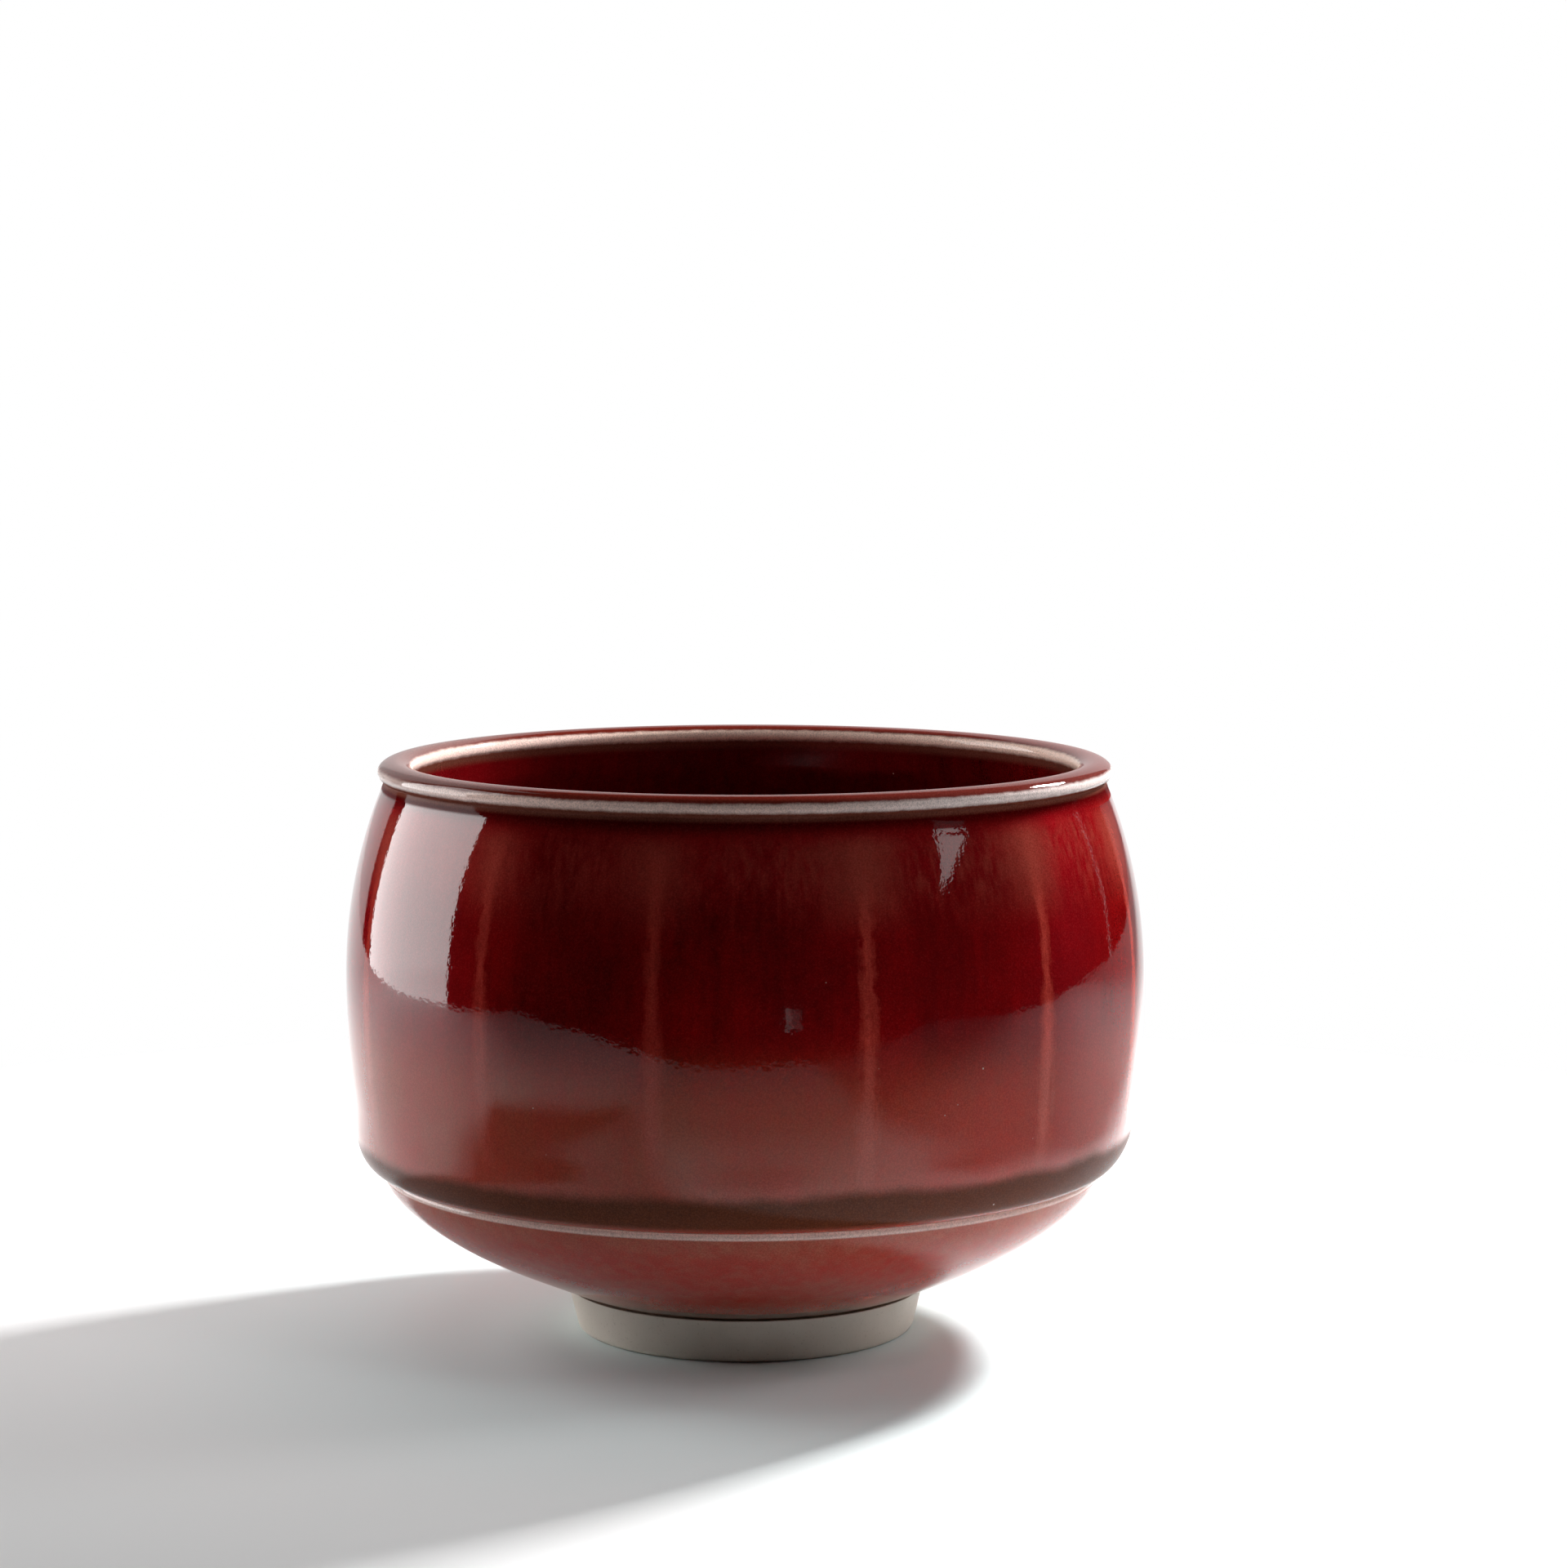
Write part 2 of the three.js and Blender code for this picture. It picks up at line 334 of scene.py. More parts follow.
def edge_weight(azimuth):
    """How clearly the glaze has run off the nearest edge: no two edges are alike."""
    nearest = np.round(azimuth / (2 * math.pi) * FACET_COUNT) % FACET_COUNT
    return EDGE_WEIGHT + EDGE_WEIGHT_SPREAD * np.cos(EDGE_WEIGHT_STEP * nearest + EDGE_WEIGHT_START)


def facet_strength(height, on_glaze):
    """The clay's facets fade out under the neck, and the glaze carries them up to the lip's corner."""
    over_shoulder = smooth_share(height, SHOULDER_TOP, SHOULDER_TOP + FACET_FADE)
    fade_start = np.where(on_glaze, NECK_HEIGHT, NECK_HEIGHT - FACET_FADE)
    fade_end = np.where(on_glaze, NECK_HEIGHT + GLAZE_FADE_RUN, NECK_HEIGHT)
    near_neck = smooth_share(height, fade_start, fade_end)
    return over_shoulder * (1 - near_neck)


def sway(height):
    """The underside was turned a little off the wall's axis."""
    return UNDERSIDE_SWAY * smooth_share(height, *SWAY_START) * (1 - smooth_share(height, *SWAY_END))


def keep_values(mesh, name, values):
    mesh.attributes.new(name, "FLOAT", "POINT").data.foreach_set("value", values.astype(np.float32))


def kept_values(mesh, name):
    values = np.zeros(len(mesh.vertices), np.float32)
    mesh.attributes[name].data.foreach_get("value", values)
    return values


def pare(mesh):
    """Cuts the facets into a turned mesh, sways its underside and lets the glaze wave a little."""
    places = np.zeros(len(mesh.vertices) * 3, np.float32)
    mesh.vertices.foreach_get("co", places)
    places = places.reshape(-1, 3) / MM
    radius = np.hypot(places[:, 0], places[:, 1])
    height = places[:, 2].copy()
    azimuth = np.arctan2(places[:, 1], places[:, 0]) % (2 * math.pi)
    edge = from_edge(azimuth)
    strength = facet_strength(height, kept_values(mesh, "wave") > 0)
    cut = kept_values(mesh, "cut") * strength * np.sin(edge * math.pi / 2) ** 2
    way = columns_way(azimuth)
    rough = np.array([noise.noise(Vector(place) / GLAZE_WAVE_LENGTH) for place in places])
    wave = rough * kept_values(mesh, "wave") * GLAZE_WAVE_DEPTH
    reach = np.maximum(radius - cut + wave, 0) * (radius > ON_AXIS)
    places[:, 0] = reach * np.cos(way) - sway(height)
    places[:, 1] = reach * np.sin(way)
    mesh.vertices.foreach_set("co", (places * MM).ravel())
    keep_values(mesh, "from_edge", edge)
    keep_values(mesh, "edge_weight", edge_weight(azimuth))
    mesh.update()


def spun(name, sections, is_ring, columns_per_facet):
    """A turned piece, whose profile is a ring or runs from axis to axis. Each section of the profile is a
    line, how deep its facets are cut and how much of the glaze's wave it has."""
    bm = bmesh.new()
    layers = [bm.verts.layers.float.new(kept) for kept in ("cut", "wave")]
    verts = []
    for line, *values in sections:
        for point in line:
            vert = bm.verts.new((point.x * MM, 0, point.y * MM))
            for layer, value in zip(layers, values):
                vert[layer] = value
            verts.append(vert)
    edges = [bm.edges.new(pair) for pair in zip(verts, verts[1:])]
    if is_ring:
        edges.append(bm.edges.new((verts[-1], verts[0])))
    bmesh.ops.spin(
        bm,
        geom=verts + edges,
        cent=(0, 0, 0),
        axis=(0, 0, 1),
        angle=2 * math.pi,
        steps=FACET_COUNT * columns_per_facet,
        use_merge=True,
    )
    bmesh.ops.remove_doubles(bm, verts=bm.verts[:], dist=SAME_PLACE * MM)
    bmesh.ops.recalc_face_normals(bm, faces=bm.faces[:])
    mesh = bpy.data.meshes.new(name)
    bm.to_mesh(mesh)
    bm.free()
    pare(mesh)
    mesh.shade_smooth()
    mesh.set_sharp_from_angle(angle=math.radians(SHARP_ANGLE))
    piece = bpy.data.objects.new(name, mesh)
    bpy.context.scene.collection.objects.link(piece)
    return piece


body_sections = [(well, 0, 0), (groove, 0, 0), (outside, FACET_DEPTH, 0), (inside, 0, 0)]
fired_body = spun("fired_body", body_sections, False, HIDDEN_COLUMNS)

bare_foot = spun("bare_foot", [(foot_line(), 0, 0)], True, FINE_COLUMNS)

outside_face = skin_glaze[: crest + 1]
outside_sections = [(outside_face, FACET_DEPTH - FACET_GLAZE_FILL, 1), (outside[::-1], FACET_DEPTH, 0)]
outside_glaze = spun("outside_glaze", outside_sections, True, FINE_COLUMNS)

inside_sections = [(skin_glaze[crest:], 0, 1), (skin[crest:][::-1], 0, 0)]
inside_glaze = spun("inside_glaze", inside_sections, False, FINE_COLUMNS)

well_glaze = spun("well_glaze", [(well_face, 0, 0), (well[::-1], 0, 0)], False, HIDDEN_COLUMNS)

# Finishes


class Finish:
    """A node tree of a material or of the world, with short ways to add its nodes."""

    def __init__(self, owner):
        owner.use_nodes = True
        self.owner = owner
        self.tree = owner.node_tree
        self.tree.nodes.clear()

    def node(self, kind, values=None, **settings):
        made = self.tree.nodes.new(kind)
        for key, value in settings.items():
            setattr(made, key, value)
        for key, value in (values or {}).items():
            self.feed(made.inputs[key], value)
        return made

    def feed(self, socket, value):
        if isinstance(value, bpy.types.NodeSocket):
            self.tree.links.new(value, socket)
        elif isinstance(value, tuple) and socket.type == "RGBA":
            socket.default_value = (*value, 1)
        else:
            socket.default_value = value

    def math(self, operation, a, b=0.0, clamp=False):
        return self.node("ShaderNodeMath", {0: a, 1: b}, operation=operation, use_clamp=clamp).outputs[0]

    def plus(self, *values):
        total = values[0]
        for value in values[1:]:
            total = self.math("ADD", total, value)
        return total

    def times(self, *values):
        total = values[0]
        for value in values[1:]:
            total = self.math("MULTIPLY", total, value)
        return total

    def minus(self, first, second):
        return self.math("SUBTRACT", first, second)

    def band(self, value, low, high, start=0.0, end=1.0):
        """value from low to high turned smoothly into start to end."""
        sockets = {"Value": value, "From Min": low, "From Max": high, "To Min": start, "To Max": end}
        return self.node("ShaderNodeMapRange", sockets, interpolation_type="SMOOTHSTEP").outputs[0]

    def hump(self, value, low, high, soft):
        """1 between low and high, fading to 0 over soft on both sides."""
        return self.times(self.band(value, low - soft, low), self.band(value, high + soft, high))

    def mix(self, share, first, second):
        made = self.node("ShaderNodeMix", data_type="RGBA")
        for place, value in ((0, share), (6, first), (7, second)):
            self.feed(made.inputs[place], value)
        return made.outputs[2]

    def noise(self, vector, scale, detail, roughness=0.5):
        sockets = {"Vector": vector, "Scale": scale, "Detail": detail, "Roughness": roughness}
        return self.node("ShaderNodeTexNoise", sockets).outputs["Fac"]

    def attribute(self, name):
        return self.node("ShaderNodeAttribute", attribute_name=name).outputs["Fac"]

    def place(self):
        return self.node("ShaderNodeTexCoord").outputs["Object"]

    def stretched(self, vector, up):
        return self.node("ShaderNodeMapping", {"Vector": vector, "Scale": (1, 1, up)}).outputs[0]

    def close(self, shader):
        self.node("ShaderNodeOutputMaterial", {"Surface": shader})
        return self.owner


# Colours of the glaze on the wall, from its thickest to its thinnest, with those of painted light,
# painted reflection and painted shade marked below
DEEP_RED = (0.080, 0.0004, 0.0006)
FULL_RED = (0.230, 0.0012, 0.0020)
# Painted light: the red where the lamps fall on the wall, inside and out
LIT_RED = (0.400, 0.0050, 0.0110)
CLOUD_BROWN = (0.33, 0.050, 0.034)
EDGE_BROWN = (0.60, 0.062, 0.042)
# Milky colours: partly glaze and partly painted reflection of the pale table
EDGE_MILKY = (0.50, 0.085, 0.058)
MILKY_RED = (0.400, 0.036, 0.016)
MILKY_BROWN = (0.360, 0.058, 0.022)
MILKY_RIGHT = (0.440, 0.022, 0.014)
# Painted shade right under the lip's roll
UNDER_LIP_SHADE_COLOUR = (0.045, 0.0005, 0.0006)

# Inside
INSIDE_DEEP = (0.040, 0.0003, 0.0004)
INSIDE_RED = (0.150, 0.0008, 0.0024)

# From the shoulder down to the groove
# Thin brown glaze on the shoulder, darkened as painted shade for the pot's shadow that it mirrors
SHOULDER_BROWN_AND_SHADE = (0.085, 0.022, 0.006)
# Painted highlight along the ridge
RIDGE_HIGHLIGHT_COLOUR = (0.86, 0.63, 0.57)
UNDER_RED = (0.38, 0.026, 0.016)
UNDER_BROWN = (0.37, 0.088, 0.052)
GLAZE_LINE_BROWN = (0.16, 0.075, 0.045)

# Lip
LIP_PALE = (0.96, 0.70, 0.62)
LIP_LEFT = (0.60, 0.44, 0.40)
# Painted light on the lip's right side
LIP_PAINTED_LIGHT = (1.0, 0.84, 0.80)
LIP_INNER = (0.98, 0.72, 0.60)
LIP_BROWN = (0.16, 0.044, 0.028)
CREST_RED = (0.135, 0.014, 0.008)
# Painted light on the crest's right side
CREST_PAINTED_LIGHT = (0.150, 0.022, 0.016)

# Specks, and the bare clay
SPECK_PALE = (0.55, 0.40, 0.34)
PIT_DARK = (0.0, 0.0, 0.0)
CLAY_SHADED = (0.56, 0.50, 0.425)
CLAY_PALE = (0.70, 0.635, 0.56)
CLAY_SAND = (0.30, 0.26, 0.20)
# Brown glaze stain in the groove, darkened as painted shade in the recess
GROOVE_STAIN_AND_SHADE_COLOUR = (0.20, 0.085, 0.035)

# Patterns, each with its scale per metre, its detail and its roughness, and the middle of their values
CLOUDS = (62.0, 4.0, 0.55)
MOTTLE = (420.0, 5.0, 0.65)
GRAIN = (2600.0, 2.0, 0.6)
RUNS = (170.0, 3.0, 0.55)
STREAKS = (900.0, 3.0, 0.6)
BUBBLES = (4200.0, 2.0, 0.7)
CLAY_BLOTCHES = (110.0, 4.0, 0.6)
CLAY_GRAIN = (2400.0, 3.0, 0.6)
RUNS_STRETCH = 0.12
STREAKS_STRETCH = 0.10
PATTERN_MIDDLE = 0.5

# What the clouds, runs, streaks, mottle and grain add to the glaze's depth
DEPTH_SHARES = (0.36, 0.26, 0.14, 0.16, 0.08)

# Relief of the glaze: long waves, orange peel and fine bumps, each a scale and a height in metres
RELIEFS = ((90.0, 1.0e-5), (420.0, 6.0e-6), (1500.0, 9.0e-6))
RELIEF_DETAIL = 1.0

# Gloss of the glaze
GLOSS_ROUGHNESS = 0.035
GLOSS_IOR = 1.5

# The spans below are a start and an end and, where a change isn't from 0 to 1, the share at each of them.
# A hump is a start, an end and how softly it fades on both sides. Places across the pot are millimetres
# from its axis to the right, and heights are millimetres too.

# Pits and bubbles, over the bubble pattern, and specks
PIT_SPAN = (0.60, 0.36, 0.0, 0.30)
BUBBLE_SPAN = (0.52, 0.72, 0.0, 0.025)
SPECK_SCALE = 520.0
SPECK_CHOICE = (0.965, 0.97)
SPECK_RIM = (0.10, 0.05)
SPECK_SHARE = 0.8

# Red of the outer wall
FACET_POOL = (0.1, 1.0, 0.0, 0.05)
WALL_DEPTH = (0.32, 0.62)
# Painted light across the pot: these spans brighten or dim the wall's red to follow where the lamps fall
PAINTED_LIGHT_ACROSS = (
    (-12.0, 12.0, 0.0, 0.18),
    (38.0, 47.0, 0.0, 0.27),
    (47.0, 58.0, 0.0, -0.42),
    (-34.0, -48.0, 0.0, 0.35),
)
# Painted light towards the neck
PAINTED_LIGHT_UP = (NECK_HEIGHT - 14, NECK_HEIGHT - 5, 0.0, 0.20)
# Painted shade on the front left of the wall
PAINTED_SHADE_HUMP = (-30.0, -18.0, 9.0)
PAINTED_SHADE_SHARE = 0.45

# Milky lower wall, partly glaze and partly painted reflection of the pale table
MILKY_HEIGHT = (WIDEST_HEIGHT + 1, WIDEST_HEIGHT - 12)
MILKY_DEPTH = (0.36, 0.62)
MILKY_TO_RIGHT = (8.0, 30.0, 0.0, 0.45)
MILKY_FAR_RIGHT = (36.0, 50.0, 0.0, 0.28)
MILKY_SHARE = 0.8

# Underside
UNDERSIDE_TOP = (RIDGE_HEIGHT + 0.5, RIDGE_HEIGHT - 0.5)
THIN_BY_RIDGE = (RIDGE_HEIGHT - 6, RIDGE_HEIGHT, 0.0, 0.55)
THIN_BY_FOOT = (GLAZE_LINE_HEIGHT + 4, GLAZE_LINE_HEIGHT, 0.0, 0.70)
THIN_IN_CLOUDS = (0.38, 0.66, 0.0, 0.20)
THIN_IN_MOTTLE = (0.38, 0.66, 0.0, 0.35)

# Edges of the facets
EDGE_CRACKLE = 0.20
EDGE_OPENING_HIGH = (NECK_HEIGHT - 16, NECK_HEIGHT - 4, 0.10, 0.19)
EDGE_OPENING_LOW = (WIDEST_HEIGHT + 6, WIDEST_HEIGHT - 1, 0.0, 0.05)
EDGE_START = (SHOULDER_TOP - 1, SHOULDER_TOP + 8)
EDGE_END = (NECK_HEIGHT - 1, NECK_HEIGHT - 6)
EDGE_SOFTNESS = (0.0, 0.9)
EDGE_BROKEN = (0.75, 1.15, 0.55, 1.0)
EDGE_GLOW = (0.55, 0.05)
EDGE_GLOW_SHARE = 0.8

# Belt of clouds below the lip, and the painted shade line over it, under the lip's roll
BELT_START = (NECK_HEIGHT - 17, NECK_HEIGHT - 6)
BELT_END = (NECK_HEIGHT, NECK_HEIGHT - 4)
CLOUD_SPAN = (0.80, 1.25)
CLOUDS_TO_RIGHT = (-14.0, 12.0, 0.25, 0.50)
UNDER_LIP_SHADE_SPAN = (NECK_HEIGHT - 2, NECK_HEIGHT + 0.5, 0.0, 0.85)

# Shoulder, ridge and glaze line
SHOULDER_UNEVEN = 3.2
SHOULDER_TILT = -0.016
SHOULDER_END = (SHOULDER_TOP + 0.8, SHOULDER_TOP - 1.6)
SHOULDER_START = (RIDGE_HEIGHT + 0.8, RIDGE_HEIGHT + 2.2)
SHOULDER_SHARE = 0.92
# Painted highlight along the ridge's bead
RIDGE_HIGHLIGHT_HUMP = (RIDGE_HEIGHT - 0.1, RIDGE_HEIGHT + 0.6, 0.35)
RIDGE_HIGHLIGHT_SHARE = 0.95
GLAZE_LINE_SPAN = (GLAZE_LINE_HEIGHT + 1.0, GLAZE_LINE_HEIGHT + 0.3)

# Lip. The pale bands and the crest are heights over the middle of its roll.
LIP_UNEVEN = 0.5
LIP_PALE_SPAN = (-0.15, -0.95)
OUTER_CREST = (0.35, 0.95)
INNER_CREST = (0.75, 1.25)
# Painted light: the crest brightens to the right over this span
CREST_TO_RIGHT = (0.0, 34.0)
CREST_AT_LEFT = (-50.0, -32.0, 0.92, 1.0)
OUTER_LIP_START = (NECK_HEIGHT + 0.3, NECK_HEIGHT + 1.0)
OUTER_LIP_LEFT = (-38.0, -52.0)
# Painted light: the outer lip's pale band brightens to the right over this span
OUTER_LIP_RIGHT = (0.0, 34.0)
INNER_LIP_START = (LIP_HEIGHT - 2.6, LIP_HEIGHT - 1.2)
INNER_LIP_LEFT = (-34.0, -14.0)

# Where the outside is less glossy
DULL_CREST = (LIP_HEIGHT - 0.5, LIP_HEIGHT + 0.8, 0.0, 0.45)
DULL_SHOULDER = (-32.0, -50.0, 0.72, 0.52)
DULL_LEFT_HUMP = (NECK_HEIGHT + 0.1, LIP_HEIGHT - 0.9, 0.5)
DULL_LEFT_SHARE = (5.0, 15.0, 0.85, 0.0)
DULL_RIGHT_HUMP = (NECK_HEIGHT - 1.0, LIP_HEIGHT - 0.9, 0.3)
DULL_RIGHT_SHARE = (5.0, 15.0, 0.0, 0.92)
DULL_UNDERSIDE = 0.3

# Inside wall
INSIDE_DEPTH = (0.30, 0.70)
INSIDE_LIT = (-22.0, -42.0, 0.0, 0.28)
INSIDE_ROUGH = (76.0, 60.0, GLOSS_ROUGHNESS, 0.40)
INSIDE_DULL = (84.0, 62.0, 0.0, 0.8)

# Bare clay
CLAY_SAND_SPAN = (0.60, 0.72, 0.0, 0.4)
# Where the groove's stain and painted shade lie
GROOVE_STAIN_AND_SHADE_HUMP = (FOOT_HEIGHT + 0.1, GLAZE_LINE_HEIGHT + 0.2, 0.3)
GROOVE_STAIN_AND_SHADE_SHARE = 0.85
CLAY_ROUGHNESS = 0.62
CLAY_BUMP_STRENGTH = 0.4
CLAY_BUMP_DEPTH = 0.03


class Glaze(Finish):
    """What the inside and the outside glaze have in common."""

    def __init__(self, name):
        super().__init__(bpy.data.materials.new(name))
        self.at = self.place()
        parts = self.node("ShaderNodeSeparateXYZ", {0: self.at}).outputs
        self.across = self.times(parts[0], 1 / MM)
        self.height = self.times(parts[2], 1 / MM)
        self.clouds = self.noise(self.at, *CLOUDS)
        self.mottle = self.noise(self.at, *MOTTLE)
        self.streaks = self.noise(self.stretched(self.at, STREAKS_STRETCH), *STREAKS)
        runs = self.noise(self.stretched(self.at, RUNS_STRETCH), *RUNS)
        grain = self.noise(self.at, *GRAIN)
        patterns = (self.clouds, runs, self.streaks, self.mottle, grain)
        self.depth = self.plus(*[self.times(*pair) for pair in zip(patterns, DEPTH_SHARES)])

    def lip(self, colour, on_lip, pale, crest_span):
        """The glaze has run off both sides of the lip and stays dark on its crest, whose red brightens to
        the right as painted light.
        """
        uneven = self.times(self.minus(self.mottle, PATTERN_MIDDLE), LIP_UNEVEN)
        risen = self.plus(self.minus(self.height, LIP_HEIGHT), uneven)
        lip = self.mix(self.band(risen, *LIP_PALE_SPAN), pale, LIP_BROWN)
        crest_red = self.mix(self.band(self.across, *CREST_TO_RIGHT), CREST_RED, CREST_PAINTED_LIGHT)
        dark = self.times(self.band(risen, *crest_span), self.band(self.across, *CREST_AT_LEFT))
        return self.mix(on_lip, colour, self.mix(dark, lip, crest_red))

    def pitted(self, colour):
        """Dark pits, pale bubbles and sparse pale specks."""
        bubbles = self.noise(self.at, *BUBBLES)
        colour = self.mix(self.band(bubbles, *PIT_SPAN), colour, PIT_DARK)
        colour = self.mix(self.band(bubbles, *BUBBLE_SPAN), colour, SPECK_PALE)
        cells = self.node("ShaderNodeTexVoronoi", {"Vector": self.at, "Scale": SPECK_SCALE}).outputs
        lot = self.node("ShaderNodeSeparateXYZ", {0: cells["Color"]}).outputs[0]
        speck = self.times(self.band(lot, *SPECK_CHOICE), self.band(cells["Distance"], *SPECK_RIM))
        return self.mix(self.times(speck, SPECK_SHARE), colour, SPECK_PALE)

    def glossy(self, colour, coat, roughness):
        waves = [self.times(self.noise(self.at, scale, RELIEF_DETAIL), rise) for scale, rise in RELIEFS]
        relief = {"Strength": 1.0, "Distance": 1.0, "Height": self.plus(*waves)}
        sockets = {
            "Base Color": self.pitted(colour),
            "Roughness": 1.0,
            "Specular IOR Level": 0.0,
            "Coat Weight": coat,
            "Coat Roughness": roughness,
            "Coat IOR": GLOSS_IOR,
            "Coat Normal": self.node("ShaderNodeBump", relief).outputs[0],
        }
        return self.close(self.node("ShaderNodeBsdfPrincipled", sockets).outputs[0])


def wall_red(glaze):
    """Deep where the glaze lies thick, with painted light brightening it where the lamps fall and painted
    shade on the front left.
    """
    pooled = glaze.band(glaze.attribute("from_edge"), *FACET_POOL)
    depth = glaze.band(glaze.minus(glaze.depth, pooled), *WALL_DEPTH)
    colour = glaze.mix(depth, DEEP_RED, FULL_RED)
    spans = [glaze.band(glaze.across, *span) for span in PAINTED_LIGHT_ACROSS]
    brighter = glaze.plus(*spans, glaze.band(glaze.height, *PAINTED_LIGHT_UP))
    colour = glaze.mix(brighter, colour, LIT_RED)
    darker = glaze.times(glaze.hump(glaze.across, *PAINTED_SHADE_HUMP), PAINTED_SHADE_SHARE)
    return glaze.mix(darker, colour, DEEP_RED)


def milky_wall_and_table_reflection(glaze, colour):
    """The lower wall turns milky, partly as glaze and partly as painted reflection of the pale table,
    toned across the pot to match it.
    """
    milky = glaze.mix(glaze.band(glaze.depth, *MILKY_DEPTH), MILKY_BROWN, MILKY_RED)
    milky = glaze.mix(glaze.band(glaze.across, *MILKY_TO_RIGHT), milky, MILKY_RIGHT)
    milky = glaze.mix(glaze.band(glaze.across, *MILKY_FAR_RIGHT), milky, DEEP_RED)
    return glaze.mix(glaze.times(glaze.band(glaze.height, *MILKY_HEIGHT), MILKY_SHARE), colour, milky)


def brown_underside(glaze, colour):
    """The underside is thinner, and brown where it meets the ridge and the foot."""
    thin = glaze.plus(
        glaze.band(glaze.height, *THIN_BY_RIDGE),
        glaze.band(glaze.height, *THIN_BY_FOOT),
        glaze.band(glaze.clouds, *THIN_IN_CLOUDS),
        glaze.band(glaze.mottle, *THIN_IN_MOTTLE),
    )
    underside = glaze.mix(glaze.math("MINIMUM", thin, 1.0), UNDER_RED, UNDER_BROWN)
    return glaze.mix(glaze.band(glaze.height, *UNDERSIDE_TOP), colour, underside)


def cloud_belt(glaze):
    """1 in the belt below the lip where the glaze is cloudy, and 0 elsewhere."""
    return glaze.times(glaze.band(glaze.height, *BELT_START), glaze.band(glaze.height, *BELT_END))


def facet_edges(glaze, colour):
    """The facets' edges are thin and brown, milky on the lower wall, and glow in the belt of clouds."""
    weight = glaze.attribute("edge_weight")
    broken = glaze.plus(glaze.streaks, glaze.mottle)
    crackle = glaze.times(glaze.minus(broken, 2 * PATTERN_MIDDLE), EDGE_CRACKLE)
    near = glaze.plus(glaze.attribute("from_edge"), crackle)
    opening = glaze.plus(
        glaze.band(glaze.height, *EDGE_OPENING_HIGH),
        glaze.band(glaze.height, *EDGE_OPENING_LOW),
    )
    closeness = glaze.math("SUBTRACT", 1.0, glaze.math("DIVIDE", near, opening), True)
    line = glaze.times(
        glaze.band(closeness, *EDGE_SOFTNESS),
        weight,
        glaze.band(glaze.height, *EDGE_START),
        glaze.band(glaze.height, *EDGE_END),
        glaze.band(broken, *EDGE_BROKEN),
    )
    edge_colour = glaze.mix(glaze.band(glaze.height, *MILKY_HEIGHT), EDGE_BROWN, EDGE_MILKY)
    colour = glaze.mix(line, colour, edge_colour)
    edge_glow = glaze.times(glaze.band(near, *EDGE_GLOW), cloud_belt(glaze), weight, EDGE_GLOW_SHARE)
    return glaze.mix(edge_glow, colour, CLOUD_BROWN)


def clouds_below_lip(glaze, colour):
    """Brown clouds in their belt, then a painted shade line right under the lip's roll."""
    cloudy = glaze.band(glaze.plus(glaze.clouds, glaze.streaks), *CLOUD_SPAN)
    share = glaze.times(cloud_belt(glaze), cloudy, glaze.band(glaze.across, *CLOUDS_TO_RIGHT))
    colour = glaze.mix(share, colour, CLOUD_BROWN)
    return glaze.mix(glaze.band(glaze.height, *UNDER_LIP_SHADE_SPAN), colour, UNDER_LIP_SHADE_COLOUR)


def on_shoulder(glaze):
    """1 on the shoulder up to its uneven top, and 0 elsewhere."""
    uneven = glaze.times(glaze.minus(glaze.clouds, PATTERN_MIDDLE), SHOULDER_UNEVEN)
    tilt = glaze.times(glaze.across, SHOULDER_TILT)
    below_top = glaze.band(glaze.plus(glaze.height, uneven, tilt), *SHOULDER_END)
    return glaze.times(below_top, glaze.band(glaze.height, *SHOULDER_START))


def thin_lines(glaze, colour):
    """The thin shoulder, partly painted shade, a painted highlight along the ridge, and the glaze line.
    """
    # The shoulder's thin brown glaze, darkened as painted shade
    colour = glaze.mix(glaze.times(on_shoulder(glaze), SHOULDER_SHARE), colour, SHOULDER_BROWN_AND_SHADE)
    # Painted highlight along the ridge
    ridge = glaze.times(glaze.hump(glaze.height, *RIDGE_HIGHLIGHT_HUMP), RIDGE_HIGHLIGHT_SHARE)
    colour = glaze.mix(ridge, colour, RIDGE_HIGHLIGHT_COLOUR)
    return glaze.mix(glaze.band(glaze.height, *GLAZE_LINE_SPAN), colour, GLAZE_LINE_BROWN)


def outer_lip(glaze, colour):
    pale = glaze.mix(glaze.band(glaze.across, *OUTER_LIP_LEFT), LIP_PALE, LIP_LEFT)
    # Painted light brightens the pale band to the right
    pale = glaze.mix(glaze.band(glaze.across, *OUTER_LIP_RIGHT), pale, LIP_PAINTED_LIGHT)
    return glaze.lip(colour, glaze.band(glaze.height, *OUTER_LIP_START), pale, OUTER_CREST)


def outside_dullness(glaze):
    """The thin shoulder, the corner under the lip, its crest and the underside are less glossy."""
    left_corner = glaze.hump(glaze.height, *DULL_LEFT_HUMP)
    right_corner = glaze.hump(glaze.height, *DULL_RIGHT_HUMP)
    return glaze.plus(
        glaze.times(on_shoulder(glaze), glaze.band(glaze.across, *DULL_SHOULDER)),
        glaze.band(glaze.height, *DULL_CREST),
        glaze.times(left_corner, glaze.band(glaze.across, *DULL_LEFT_SHARE)),
        glaze.times(right_corner, glaze.band(glaze.across, *DULL_RIGHT_SHARE)),
        glaze.times(glaze.band(glaze.height, *UNDERSIDE_TOP), DULL_UNDERSIDE),
    )


